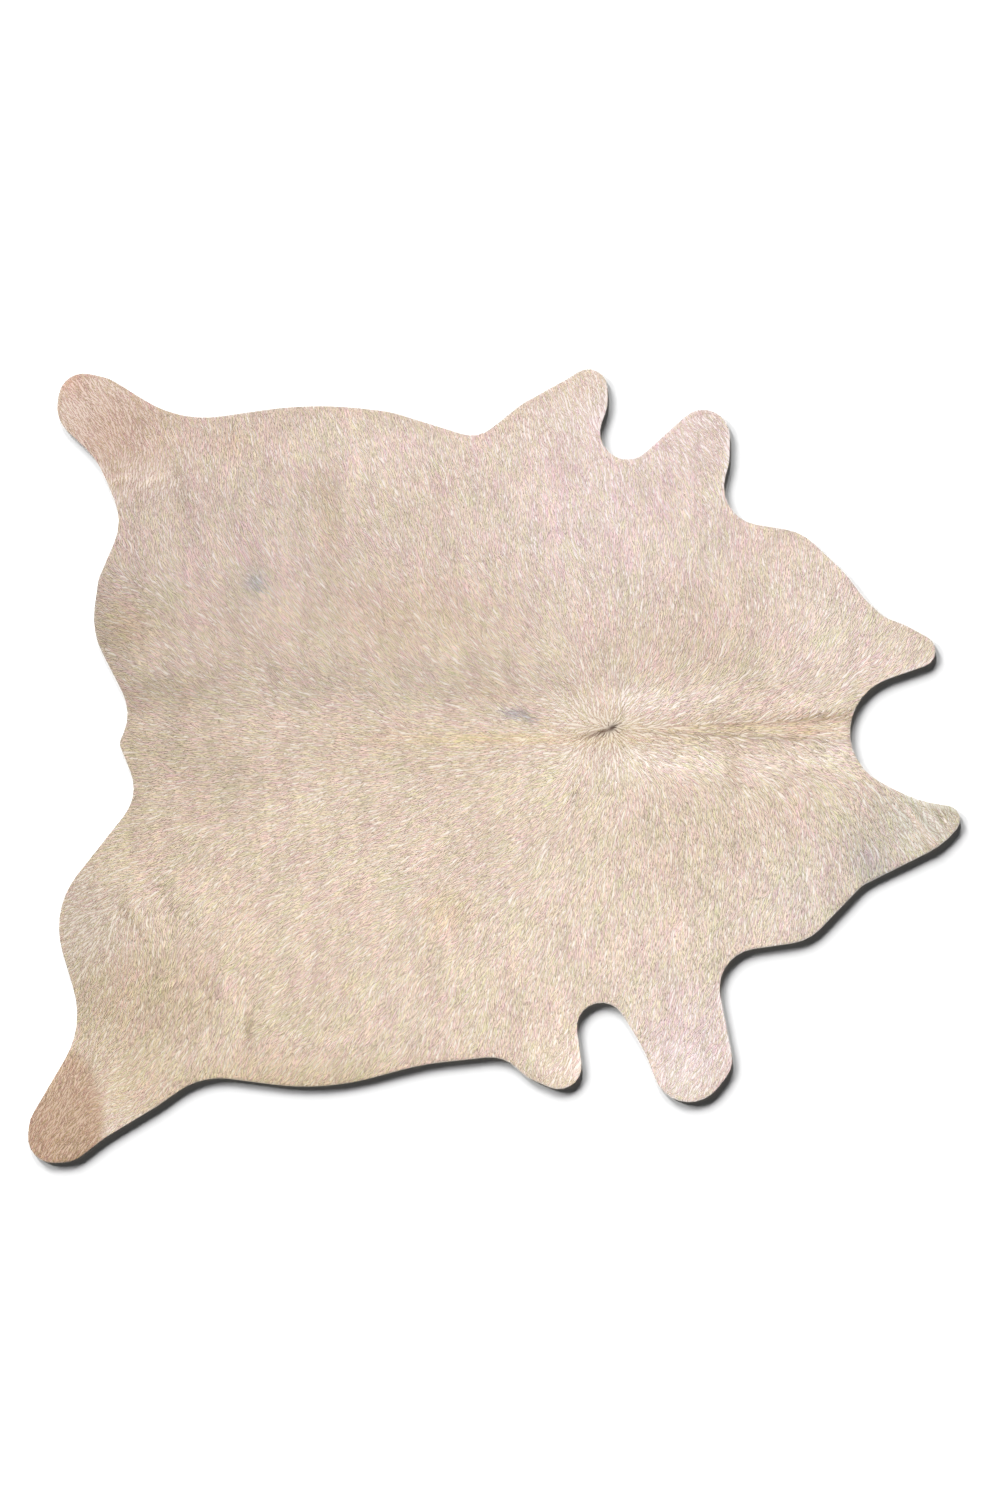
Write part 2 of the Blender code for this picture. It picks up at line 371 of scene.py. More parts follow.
wall_places = [(x, y, z) for z in (WALL_LOW, WALL_HIGH) for x, y in rim]
wall_faces = [(a, b, b + len(rim), a + len(rim)) for a, b in neighbours(rim)]
wall_data = bpy.data.meshes.new("rim_wall")
wall_data.from_pydata(wall_places, [], wall_faces)
rim_wall = bpy.data.objects.new("rim_wall", wall_data)
print("rim wall of", len(wall_faces), "panels")

# %% [markdown]
# ## Combing
# Hair doesn't grow at random. On this hide it starts at a whorl over the shoulders, runs back along
# the spine and down the ribs, and forward on both sides of a parting to the neck. The combing is
# given as strokes, each a place and a heading, and every point of the skin blends the strokes
# around it, the nearest ones most. The whorl and both edges of the parting pull on top of that.

# %% The strokes of the comb, in millimetres and degrees
WHORL = (266, 86)
COMBING = {
    "spine": ((-880, 60, 180), (-600, 64, 180), (-350, 64, 180), (-100, 64, 180), (120, 70, 180)),
    "left back": (
        (-700, 130, 165), (-450, 130, 160), (-200, 130, 156), (50, 130, 153),
        (-850, 220, 160), (-700, 240, 138), (-450, 240, 140), (-200, 240, 135), (80, 240, 138),
    ),
    "left ribs": (
        (-840, 360, 168), (-680, 380, 136), (-500, 400, 132), (-300, 400, 132), (-50, 400, 122),
        (180, 400, 110), (-800, 500, 104), (-640, 520, 112), (-480, 540, 118), (-320, 560, 122),
        (-150, 520, 108), (50, 540, 98),
        (-640, 680, 98), (-500, 740, 106), (-300, 700, 110), (-100, 700, 108), (100, 680, 104),
    ),
    "left hind leg": (
        (-860, 620, 104), (-815, 660, 72), (-900, 760, 130), (-960, 850, 132), (-780, 760, 118),
    ),
    "left front legs": ((220, 860, 115), (470, 750, 130), (450, 610, 115), (300, 600, 104)),
    "left shoulder": (
        (243, 174, 112), (290, 290, 95), (350, 370, 84), (480, 380, 104), (330, 500, 96),
        (620, 400, 102), (600, 540, 92), (780, 480, 98),
    ),
    "left neck": (
        (350, 125, 36), (470, 145, 30), (610, 150, 32), (720, 155, 38), (815, 150, 32),
        (380, 190, 72), (500, 240, 82), (640, 260, 76), (760, 240, 70), (850, 360, 74),
        (960, 290, 62),
    ),
    "in the parting": ((400, 90, 8), (520, 92, 10), (640, 94, 12), (760, 98, 14)),
    "right back": (
        (-700, 0, 187), (-450, 0, 194), (-200, 0, 198), (50, 0, 204),
        (-650, -90, 196), (-400, -90, 206), (-150, -90, 212), (60, -90, 220),
    ),
    "right ribs": (
        (-930, -290, 206), (-830, -220, 196), (-650, -240, 220), (-450, -240, 212),
        (-200, -240, 206), (20, -230, 212), (180, -220, 250),
        (-800, -380, 274), (-600, -380, 230), (-350, -380, 220), (-120, -380, 240), (60, -380, 248),
        (220, -380, 264), (-800, -540, 256), (-630, -540, 254), (-470, -540, 224), (-300, -540, 240),
        (-120, -540, 246), (60, -540, 264), (-620, -670, 250), (-450, -670, 236), (-250, -670, 236),
        (-80, -670, 250), (60, -660, 266), (160, -700, 242),
    ),
    "right hind leg": ((-960, -700, 250), (-1000, -870, 242), (-870, -742, 205), (-780, -680, 236)),
    "right front legs": ((450, -680, 247), (520, -540, 255), (380, -500, 258)),
    "right shoulder": (
        (259, 10, 268), (260, -90, 246), (340, -240, 268), (480, -260, 268), (450, -390, 266),
        (620, -380, 260), (650, -250, 260),
    ),
    "right neck": (
        (357, 45, -30), (472, 40, -28), (655, 40, -28), (790, 40, -28),
        (357, -80, -80), (518, -90, -72), (680, -100, -68), (840, -100, -60),
        (520, -160, -86), (680, -170, -82), (840, -230, -78), (980, -124, -52), (1030, -120, -50),
    ),
}
STROKES = np.array([row for rows in COMBING.values() for row in rows], float)
print(len(STROKES), "strokes of the comb")

# %% The combing at every point of the skin
STROKE_REACH = 60.0      # millimetres within which strokes share a place evenly
WHORL_REACH = 35.0
WHORL_PULL = 2.0
PARTING = (300.0, 840.0)                 # from the whorl to the bay at the neck
PARTING_REACH = 42.0
PARTING_PULL = 2.5
PARTING_FADE = 40.0      # at its two ends
UPPER_EDGE, LOWER_EDGE = (86.0, 0.044), (78.0, -0.044)       # height there and slope
UPPER_SWING, LOWER_SWING = math.radians(38), math.radians(-27)


def comb_at(x, y):
    """Unit vectors along the hair's growth at places in millimetres."""
    across = x[:, None] - STROKES[:, 0]
    along = y[:, None] - STROKES[:, 1]
    pull = (across ** 2 + along ** 2 + STROKE_REACH ** 2) ** -2.0
    aim = np.radians(STROKES[:, 2])
    u = (pull * np.cos(aim)).sum(1) / pull.sum(1)
    v = (pull * np.sin(aim)).sum(1) / pull.sum(1)
    from_x, from_y = x - WHORL[0], y - WHORL[1]
    far = np.hypot(from_x, from_y) + 1e-6
    near = WHORL_PULL * np.exp(-(far / WHORL_REACH) ** 2)
    u, v = u + near * from_x / far, v + near * from_y / far
    run = x - PARTING[0]
    beside = np.clip(run / PARTING_FADE, 0, 1) * np.clip((PARTING[1] - x) / PARTING_FADE, 0, 1)
    for (start, slope), swing, side in ((UPPER_EDGE, UPPER_SWING, 1), (LOWER_EDGE, LOWER_SWING, -1)):
        off = side * (y - start - slope * run)
        near = PARTING_PULL * beside * np.where(off > 0, np.exp(-(off / PARTING_REACH) ** 2), 0)
        u, v = u + near * math.cos(swing), v + near * math.sin(swing)
    return np.stack([u, v, np.zeros(len(u))], 1) / np.hypot(u, v)[:, None]


FIELDS = {"FLOAT": "value", "FLOAT_VECTOR": "vector", "FLOAT_COLOR": "color"}


def carry(data, name, kind, values):
    """Gives each point of a mesh a value of its own under a name."""
    data.attributes.new(name, kind, "POINT").data.foreach_set(FIELDS[kind], np.ravel(values))


skin_data = bpy.data.meshes.new("skin")
skin_mesh.to_mesh(skin_data)
skin_mesh.free()
places = np.empty(len(skin_data.vertices) * 3)
skin_data.vertices.foreach_get("co", places)
skin_x, skin_y, _ = places.reshape(-1, 3).T / MM
comb = comb_at(skin_x, skin_y)
carry(skin_data, "comb", "FLOAT_VECTOR", comb)
print("combed", len(comb), "points")

# %% [markdown]
# ## The coat's colours
# The coat is cream, but no two places match: one flank is greyer, the other more yellow, the legs
# turn whitish or brown, and dark hair fills the whorl. Each such place is a soft oval tint with its
# own colour and strength, laid over the ground colour in turn. Some tints are painted light instead:
# painted highlights on ridges, and painted shade in troughs and folds, over the left rump and on the
# cheek.

# %% Tints
GROUND = "E6DACC"
TINTS = [(code, Oval(*row)) for code, *row in (
    ("E2D7CD", "left flank, greyer", -150, 420, 900, 380, 0.6),
    ("E9DDCF", "right flank, yellower", -150, -330, 900, 380, 0.6),
    ("D9CCC7", "left haunch", -640, 480, 420, 360, 0.85),
    ("CBBDAD", "left haunch by the spine", -650, 320, 280, 110, 0.3),
    # painted shade over the left rump
    ("B8AEA3", "left rump", -910, 280, 110, 230, 0.75),
    ("BDAC90", "left rump, yellower", -825, 315, 60, 60, 0.5),
    ("C6BCAF", "dark band over the spine", -340, 192, 600, 58, 0.5, 0, 1.5),
    ("ADA191", "dark rump over the spine", -765, 160, 120, 50, 0.55, 0, 2.0),
    # painted shade in a fold over the spine
    ("A3967F", "dark fold over the spine", -692, 146, 16, 36, 0.4),
    ("BFB09C", "root of the tail", -815, 35, 45, 45, 0.5),
    ("CFC0B0", "brown over the parting", 480, 245, 240, 50, 0.45),
    ("C4B59C", "olive streak", -372, 560, 26, 120, 0.5, 4),
    ("D3C1AD", "brown over the ribs", -150, 335, 230, 90, 0.5),
    ("DCCCBA", "brown on the shoulder", 475, 362, 105, 78, 0.5),
    ("D4C3B1", "brown over the whorl", 205, 164, 42, 22, 0.5),
    ("C0A892", "brown before the whorl", 5, 160, 42, 18, 0.4, -20),
    ("CBB49F", "brown by the left edge", -588, 722, 42, 28, 0.45),
    ("F4EBE8", "pale left belly", -240, 720, 240, 80, 0.4),
    ("EBE0DF", "left shoulder", 330, 560, 380, 260, 0.7),
    ("F6EBEC", "behind the left front leg", 560, 700, 80, 70, 0.5),
    ("F2E9E4", "left of the bay", 720, 230, 90, 60, 0.4),
    ("EEE8E4", "left cheek", 930, 230, 120, 80, 0.4),
    ("F5EAE8", "before the left elbow", 150, 555, 130, 70, 0.35),
    ("EFE3E3", "left elbow, lilac", 240, 600, 200, 160, 0.5),
    ("F0E6DC", "right side", 300, -380, 480, 330, 0.75),
    ("F4EAE0", "right of the belly", -230, -570, 130, 70, 0.35),
    ("E2CFAE", "yellow on the right ribs", -98, -321, 60, 50, 0.4),
    ("F6EADB", "pale on the right ribs", -40, -462, 120, 50, 0.4),
    ("F4EDEA", "right of the front leg", 540, -570, 90, 70, 0.4),
    ("E0D4C6", "right shoulder", 470, -190, 190, 100, 0.6),
    ("EFE6E1", "left of the neck", 790, 370, 190, 180, 0.7),
    ("EBE5E0", "right of the neck", 720, -300, 190, 150, 0.6),
    ("DBD3CC", "right of the bay", 810, -170, 110, 90, 0.35),
    ("C9BDAF", "right rump edge", -950, -370, 120, 300, 0.85),
    ("CDBDA4", "right rump, olive", -820, -540, 170, 130, 0.6, 20, 2.0),
    ("D8CBB9", "right haunch", -790, -180, 170, 110, 0.5),
    ("EDE2CE", "pale band down the haunch", -540, -470, 60, 190, 0.4, 22),
    ("CEC2B3", "spine at the rump", -710, 20, 230, 120, 0.75),
    ("D8CAB8", "spine at the loin", -170, 50, 240, 70, 0.5),
    ("F4EADD", "spine behind the whorl", 90, 50, 80, 40, 0.35),
    ("C9AE9F", "left hind leg", -880, 770, 150, 140, 0.85),
    ("D6AA9B", "left hind foot, pinker", -968, 875, 42, 30, 0.5),
    # painted light on the hock's wrinkles: highlights on its ridges, shade in its troughs and hollow
    ("FFEEE0", "hock ridge 1", -853, 654, 30, 8, 0.45, 25, 1.5),
    ("FFEFE0", "hock ridge 2", -781, 654, 46, 8, 0.4, 25, 1.5),
    ("AE9D80", "hock trough 1", -868, 674, 16, 6, 0.6),
    ("AE9D80", "hock trough 2", -856, 642, 18, 6, 0.6, 12),
    ("B5998A", "hock trough 3", -806, 622, 26, 7, 0.5, -50),
    ("B8A690", "hock trough 4", -765, 646, 44, 5, 0.5, 24),
    ("F6E2D6", "hock ridge 3", -757, 745, 34, 8, 0.35, 5),
    ("B9AD9A", "hock hollow", -706, 606, 74, 14, 0.35, -80),
    ("D9CCBA", "right hock", -850, -640, 120, 90, 0.7),
    ("C2A68F", "right hind leg tip", -994, -790, 160, 106, 0.95, 98, 8.0),
    ("DCC2AC", "pale in the tip", -980, -698, 50, 40, 0.5),
    ("EADCC3", "cream by the tip", -840, -732, 50, 48, 0.6, 30),
    ("D1C4AB", "belly edge", -480, -730, 330, 70, 0.85),
    ("DCCFBC", "right ribs by the belly", -420, -590, 170, 60, 0.5),
    # painted highlights on the two belly creases
    ("FFF3EA", "bright belly crease", -341, -626, 70, 11, 0.6, 5),
    ("FDF0E4", "bright belly crease 2", -470, -605, 78, 11, 0.6, -37),
    ("FDEBD6", "bright over the belly crease", -325, -497, 32, 15, 0.5),
    # painted shade in a fold by the belly
    ("B7A384", "fold by the belly", -555, -600, 50, 9, 0.5, 88),
    ("FFF3DA", "scar", -744, -492, 42, 3, 0.9, 23),
    ("B3A187", "under the scar", -742, -502, 40, 3, 0.5, 23),
    # painted light on the rump folds: each fold and the third one's foot darker as shade, each lit
    # side paler
    ("B3A892", "rump fold 1", -900, -324, 55, 6, 0.3, -66),
    ("EFE4D0", "rump fold 1, lit side", -884, -318, 50, 6, 0.4, -66),
    ("B8AA90", "rump fold 2", -825, -342, 68, 7, 0.45, -57),
    ("F1E5CF", "rump fold 2, lit side", -795, -362, 42, 6, 0.5, -57),
    ("B5A586", "rump fold 3", -655, -468, 56, 9, 0.5, -60),
    ("BBA684", "rump fold 3, foot", -652, -545, 26, 13, 0.45, 90),
    ("F5E0D8", "rump fold 3, lit side", -677, -472, 52, 7, 0.5, -60),
    ("EBDDDC", "left front legs", 350, 770, 220, 110, 0.9),
    ("EFE5E5", "right front legs", 450, -640, 140, 150, 0.9),
    ("FDF1E6", "right elbow", 165, -660, 80, 75, 0.8),
    ("CDCDC5", "cheek, cool", 955, -118, 140, 90, 0.65, -30),
    # painted light on the cheek's wrinkles: shade in its troughs, highlights on its ridges
    ("9F9A80", "cheek trough 1", 975, -112, 46, 4, 0.7, -52),
    ("9F9A80", "cheek trough 2", 1018, -116, 33, 4, 0.7, -56),
    ("A5A088", "cheek trough 3", 1013, -160, 22, 4, 0.6, -54),
    ("ABA690", "cheek trough 4", 940, -110, 30, 4, 0.5, -60),
    ("B5AC98", "cheek trough 5", 990, -172, 38, 11, 0.65, -55),
    ("FFE9E0", "cheek ridge 1", 960, -121, 52, 6, 0.5, -54),
    ("FFEFE6", "cheek ridge 2", 1031, -124, 24, 4, 0.6, -61),
    ("FFE9EC", "cheek ridge 3", 1000, -173, 24, 4, 0.4, -62),
    ("FFF6E4", "cheek ridge 4", 957, -156, 13, 4, 0.6),
    ("FFF0E6", "cheek ridge 5", 990, -104, 28, 4, 0.4, -52),
    ("C3C0AD", "ear tip", 1040, -96, 36, 20, 0.7, -20),
    # painted shade on the cheek
    ("C8C6C5", "cheek, bluish", 875, -236, 80, 50, 0.8, -50),
    ("D3C9C1", "behind the cheek, cool", 795, -290, 60, 40, 0.45),
    ("B0B2BA", "grey spot", -536, 410, 24, 26, 0.8),
    ("A5A6B0", "grey spot by the whorl", 58, 116, 36, 11, 0.8, -8),
    ("6E6C72", "dark hairs at that spot", 92, 106, 12, 5, 0.8, -50),
    ("FAF0EC", "bright over the parting", 370, 146, 130, 26, 0.7),
    ("FCF0E8", "bright over the parting 2", 710, 138, 130, 20, 0.6, 8),
    ("FFF8F0", "bright under the parting", 490, 8, 235, 26, 0.7),
    ("FFF5F0", "bright by the bay", 785, 36, 70, 45, 0.7),
    ("CBB79E", "brown notch under the parting", 538, 0, 22, 34, 0.5),
    ("EBD9B4", "yellow line on the spine", 60, 62, 260, 10, 0.6),
    ("EAD8B8", "golden hair in the parting", 560, 84, 290, 17, 0.4, 1),
    ("C9A987", "golden hair by the bay", 712, 76, 34, 9, 0.45),
    ("B3967A", "upper edge of the parting", 600, 98, 260, 6, 0.4, 2.5),
    ("B4967E", "brown by the bay", 750, 107, 75, 8, 0.45, 4),
    ("AA9283", "lower edge of the parting", 565, 67, 290, 3.5, 0.55, -2.5),
    ("D0BEA6", "round the whorl", 262, 84, 90, 60, 0.5),
    ("3A2014", "dark whorl", 270, 87, 13, 7, 1.0, 38),
    ("573824", "whorl's tail", 249, 79, 15, 5, 1.0, 20),
    ("8A6C56", "end of the tail", 218, 71, 24, 4, 0.6, 8),
)]


def tint_at(x, y):
    """The coat's linear colour, with the painted light and shade of some tints, at places in
    millimetres.
    """
    colour = np.tile(linear(GROUND), (len(x), 1))
    for code, tint in TINTS:
        amount = tint.amount * share(tint, x, y)
        colour += amount[:, None] * (linear(code) - colour)
    return colour


carry(skin_data, "coat_tint", "FLOAT_COLOR", tint_at(skin_x, skin_y))
print(len(TINTS), "tints over the ground colour")

# %% [markdown]
# ## How long the hair is
# A hide is hairier on the body than on the legs. Soft ovals shorten the coat there, and at the
# whorl, the hock, one cheek and one rump. More ovals say where the hair parts or stands apart, so
# that roots show and the locks differ more in shade.

# %% Coat length
BODY_HAIR = 31.0
CLIPS = [Oval(*row) for row in (
    ("left hind leg", -920, 790, 170, 150, 13),
    ("right hind leg", -980, -780, 170, 170, 15),
    ("left front legs", 330, 800, 260, 130, 17),
    ("right front legs", 330, -720, 280, 120, 18),
    ("whorl", 262, 84, 120, 90, 17),
    ("left hock", -800, 645, 100, 55, 14),
    ("right cheek", 990, -125, 90, 70, 15),
    ("right rump edge", -930, -340, 100, 150, 17),
)]


def hair_at(x, y):
    """The hair's length at places in millimetres."""
    hair = np.full(len(x), BODY_HAIR)
    for c in CLIPS:
        hair += share(c, x, y) * (c.amount - hair)
    return hair


lengths = hair_at(skin_x, skin_y) * MM
carry(skin_data, "hair_length", "FLOAT", lengths)
print("hair from", round(lengths.min() / MM, 1), "to", round(lengths.max() / MM, 1), "mm")

# %% Where roots show
BARE_PLACES = [Oval(*row) for row in (
    ("upper edge of the parting", 600, 100, 260, 8, 0.65, 2.5, 2.0),
    ("lower edge of the parting", 565, 67, 290, 7, 0.5, -2.5, 2.0),
    ("whorl", 262, 86, 16, 8, 0.2, 20, 2.0),
    ("tail of the whorl", 226, 74, 36, 5, 0.4, 10, 2.0),
    ("right hind leg tip", -994, -790, 160, 106, 0.55, 98, 2.0),
    ("left hind leg", -950, 800, 120, 120, 0.15, 0, 2.0),
)]


def bare_at(x, y):
    """How much the roots show at places in millimetres."""
    total = np.zeros(len(x))
    for b in BARE_PLACES:
        total = np.maximum(total, b.amount * share(b, x, y))
    return total


bare = bare_at(skin_x, skin_y)
carry(skin_data, "roots_show", "FLOAT", bare)
print("roots show up to", round(bare.max(), 2), "of the way")

# %% [markdown]
# ## A lock
# Single hairs are far too fine and too many for a rug. What the eye sees is locks: a few dozen hairs
# that lie together, about 3 mm wide and 30 mm long. A lock is a slim closed shape of twelve faces,
# pointed at both ends, with a soft ridge. Three kinds bend to the left, to the right and both ways,
# because rows of straight locks look like needles.

# %% Three locks, each one unit long and one unit wide
# where along the lock, half width, height of the sides and height of the ridge
SECTIONS = ((0.27, 0.50, 0.0, 1.0), (0.62, 0.42, 0.1, 0.9))
ROOT_HEIGHT, TIP_HEIGHT = -0.1, 0.35
BENDS = {"lock_left": (0.55, 0.75), "lock_right": (-0.55, -0.75), "lock_wave": (0.45, -0.5)}
MAP_MARGIN = 0.1         # free space round a lock in its square of the map
MAP_FILL = 1 - 2 * MAP_MARGIN


def make_lock(name, bends):
    """A lock as a mesh whose points keep their place along and across it, for the colours."""
    points = [(0.0, 0.0, ROOT_HEIGHT)]
    flat = [(0.0, 0.0)]
    for (along, half, side, ridge), bend in zip(SECTIONS, bends):
        for across, height in ((half, side), (-half, side), (0.0, ridge)):
            points.append((along, across + bend, height))
            flat.append((along, across))
    points.append((1.0, 0.0, TIP_HEIGHT))
    flat.append((1.0, 0.0))
    faces = [(0, 3, 1), (0, 2, 3), (0, 1, 2), (7, 4, 6), (7, 6, 5), (7, 5, 4)]
    for a, b in ((1, 3), (3, 2), (2, 1)):
        faces += [(a, b, b + 3), (a, b + 3, a + 3)]
    data = bpy.data.meshes.new(name)
    data.from_pydata(points, [], faces)
    carry(data, "along", "FLOAT", [along for along, _ in flat])
    spots = [(MAP_MARGIN + MAP_FILL * along, 0.5 + MAP_FILL * across, 0.0) for along, across in flat]
    carry(data, "lock_spot", "FLOAT_VECTOR", spots)
    return bpy.data.objects.new(name, data)


LOCKS = {name: make_lock(name, bends) for name, bends in BENDS.items()}
print("three locks of", len(LOCKS["lock_left"].data.polygons), "faces")

# %% [markdown]
# ## The hair's material
# Cattle hair is keratin, smooth along its length and softly glossy. To the eye a lock is darker at
# its root, where light is lost between the hairs, and paler at its sun-bleached tip. No two locks
# match. A picture of hair would be simpler, but it would run across the rim and the folds. Here each
# lock carries its own numbers, and the material reads them.

# %% Hair, and what each lock carries
HAIR, strand, hair_shader = new_material("cattle hair")
hair_place = add(strand, "ShaderNodeTexCoord").outputs["Object"]
coat_tint = add(strand, "ShaderNodeAttribute", attribute_name="coat_tint")
carried = {}
for name in ("lock_shade", "along", "tuft", "roots_show"):
    carried[name] = add(strand, "ShaderNodeAttribute", attribute_name=name).outputs["Fac"]
print(HAIR.name, "reads", ["coat_tint", *carried])

# %% The hair's colour
CLUMP = 90 * MM          # pinkish and yellowish places, broken up to a quarter of that size
SHUFFLE = 7.0            # spreads a lock's shade into a number that seems unlike it

clumps = add(strand, NOISE, {
    "Vector": hair_place, "Scale": 1 / CLUMP, "Detail": 3.0, "Roughness": 0.6})
hue = add(strand, RANGE, {"Value": clumps, "From Min": 0.27, "From Max": 0.73})
own_hue = add(strand, MATH, {0: carried["lock_shade"], 1: SHUFFLE}, "MULTIPLY")
own_hue = add(strand, MATH, {0: own_hue}, "FRACT")
hair_colour = coat_tint
for factor, pinkish, yellowish in ((hue, "FFF1F3", "FBFBEF"), (own_hue, "FFF1FD", "F8FEE7")):
    layer = add(strand, "ShaderNodeMix", {
        "Factor": factor, 6: linear(pinkish), 7: linear(yellowish)}, data_type="RGBA")
    hair_colour = add(strand, "ShaderNodeMix", {
        "Factor": 1.0, 6: hair_colour, 7: layer}, data_type="RGBA", blend_type="MULTIPLY")
print("pinkish places about", round(CLUMP / MM), "mm across")

# %% The hair's light and dark
CLOUD = 110 * MM         # soft lighter and darker places
RIB_BANDS = (38 * MM, 150 * MM, 1.0)     # bands that run up and down over the ribs

cloud = add(strand, NOISE, {
    "Vector": hair_place, "Scale": 1 / CLOUD, "Detail": 3.0, "Roughness": 0.6})
ribs = add(strand, VECTOR, {0: hair_place, 1: RIB_BANDS}, "DIVIDE")
band = add(strand, NOISE, {"Vector": ribs, "Scale": 1.0, "Detail": 1.0})
both = add(strand, MATH, {0: cloud, 1: band}, "ADD")
darkest = add(strand, RANGE, {"Value": carried["roots_show"], "To Min": 0.94, "To Max": 0.60})
brightness = 1.0
for value, low, high, dark, pale in (
    (both, 0.7, 1.3, 0.89, 1.075),
    (carried["lock_shade"], 0.0, 1.0, darkest, 1.035),
    (carried["along"], 0.0, 1.0, 0.93, 1.02),
    (carried["tuft"], 0.0, 1.0, 0.985, 1.01),
):
    part = add(strand, RANGE, {
        "Value": value, "From Min": low, "From Max": high, "To Min": dark, "To Max": pale})
    brightness = add(strand, MATH, {0: part, 1: brightness}, "MULTIPLY")
shaded_hair = add(strand, VECTOR, {0: hair_colour, "Scale": brightness}, "SCALE")
print("four kinds of shade: clouds, each lock, root to tip, each tuft")

# %% The hair's gloss
GLOSS = {"Roughness": 0.62, "Specular IOR Level": 0.25, "IOR": 1.55}     # the IOR is keratin's

strand.links.new(shaded_hair.outputs[0], hair_shader.inputs["Base Color"])
for socket, value in GLOSS.items():
    hair_shader.inputs[socket].default_value = value
print("hair has", len(strand.nodes), "nodes")

# %% [markdown]
# ## Growing the coat
# Placing many thousand locks is work for Geometry Nodes. The tree's sizes are named inputs, so that
# the coat can be cut shorter or combed flatter without opening it.

# %% The tree and its inputs
SIZES = {
    "Locks per Square Metre": 120000.0,
    "Root Spacing": 4.3 * MM,
    "Lock Width": 3.0 * MM,
    "Lock Height": 0.72 * MM,
    "Least Lift": math.radians(0.6),
    "Most Lift": math.radians(1.9),
    "Stray": math.radians(8.0),
    "Wave": math.radians(17.0),
    "Wave Size": 34 * MM,
    "Roll": math.radians(10.0),
    "Tuft Size": 12 * MM,
    "Shortest Lock": 12 * MM,
    "Rim Reach": 6 * MM,
    "Overhang": 0.5 * MM,
}

COAT = bpy.data.node_groups.new("combed coat", "GeometryNodeTree")
for kind, names in (
    ("Geometry", ["Geometry"]), ("Float", SIZES), ("Int", ["Seed"]),
    ("Object", [*LOCKS, "Rim"]), ("Material", ["Hair"]),
):
    for name in names:
        COAT.interface.new_socket(name=name, in_out="INPUT", socket_type="NodeSocket" + kind)
COAT.interface.new_socket(name="Geometry", in_out="OUTPUT", socket_type="NodeSocketGeometry")
given = add(COAT, "NodeGroupInput").outputs
print("sizes of the coat:", len(SIZES))

# %% [markdown]
# Roots are scattered evenly over the skin, no two closer than the root spacing. Each lock differs
# from its neighbours in nine ways, so nine random numbers are drawn, each with its own seed.

# %% Roots and random draws
roots = add(COAT, "GeometryNodeDistributePointsOnFaces", {
    "Mesh": given["Geometry"], "Distance Min": given["Root Spacing"], "Seed": given["Seed"],
    "Density Max": given["Locks per Square Metre"]}, distribute_method="POISSON")
here = add(COAT, "GeometryNodeInputPosition")
DRAWS = {
    "stray": (-1.0, 1.0),
    "length": (0.72, 1.2),
    "overhang": (-1.0, 1.0),
    "lift": (given["Least Lift"], given["Most Lift"]),
    "roll": (-1.0, 1.0),
    "width": (0.6, 1.35),
    "height": (0.7, 1.3),
    "shade": (0.0, 1.0),
    "bend": (-0.5, 0.5),
}
chance = {}
for salt, (name, (least, most)) in enumerate(DRAWS.items(), 1):
    seed = add(COAT, "FunctionNodeIntegerMath", {0: given["Seed"], 1: salt}, "ADD")
    chance[name] = add(COAT, "FunctionNodeRandomValue", {"Min": least, "Max": most, "Seed": seed})
print("random draws:", len(chance))

# %% [markdown]
# Each lock turns to the combing, with a slow wave that its neighbours share and a little stray of its
# own. Tufts are places where locks hold together: noise that is stretched along the hair, which is
# the same noise added up at five places along the heading.

# %% The heading of each lock, and its tuft
NOISE_SWING = 4.0        # noise keeps to about a quarter either side of its middle
TUFT_STRIDE = 1.3        # in tuft sizes
TUFT_RANGE = (2.2, 2.8)  # of five noises added up

wave_scale = add(COAT, MATH, {0: 1.0, 1: given["Wave Size"]}, "DIVIDE")
wave = add(COAT, NOISE, {"Vector": here, "Scale": wave_scale, "Detail": 1.0})
sway = wave
for amount, operation in ((0.5, "SUBTRACT"), (NOISE_SWING, "MULTIPLY"), (given["Wave"], "MULTIPLY")):
    sway = add(COAT, MATH, {0: sway, 1: amount}, operation)
swing = add(COAT, MATH, {0: chance["stray"], 1: given["Stray"], 2: sway}, "MULTIPLY_ADD")
combed = add(COAT, READ, {"Name": "comb"}, data_type="FLOAT_VECTOR")
heading = add(COAT, "ShaderNodeVectorRotate", {
    "Vector": combed, "Angle": swing}, rotation_type="Z_AXIS")
back = add(COAT, VECTOR, {0: heading, "Scale": -1.0}, "SCALE")
tuft_scale = add(COAT, MATH, {0: 1.0, 1: given["Tuft Size"]}, "DIVIDE")
tufts = 0.0
for step in (-2, -1, 0, 1, 2):
    stride = add(COAT, MATH, {0: given["Tuft Size"], 1: TUFT_STRIDE * step}, "MULTIPLY")
    aside = add(COAT, VECTOR, {0: heading, "Scale": stride}, "SCALE")
    beyond = add(COAT, VECTOR, {0: here, 1: aside}, "ADD")
    noise = add(COAT, NOISE, {"Vector": beyond, "Scale": tuft_scale, "Detail": 1.0})
    tufts = add(COAT, MATH, {0: noise, 1: tufts}, "ADD")
tuft = add(COAT, RANGE, {"Value": tufts, "From Min": TUFT_RANGE[0], "From Max": TUFT_RANGE[1]})
print(len(COAT.nodes), "nodes up to the tufts")

# %% [markdown]
# The knife cut the real coat off clean at the rim. So a ray is cast along each lock to the rim, and
# the lock is cut to that room. Where the room is too small, the root steps back from the rim, and
# right at the rim it steps back onto the edge, so that the cut edge is covered.

# %% The length of each lock
RIM_SIGHT = 60 * MM      # further than any lock is long
NO_RIM = 1.0             # metres, where no rim is in sight

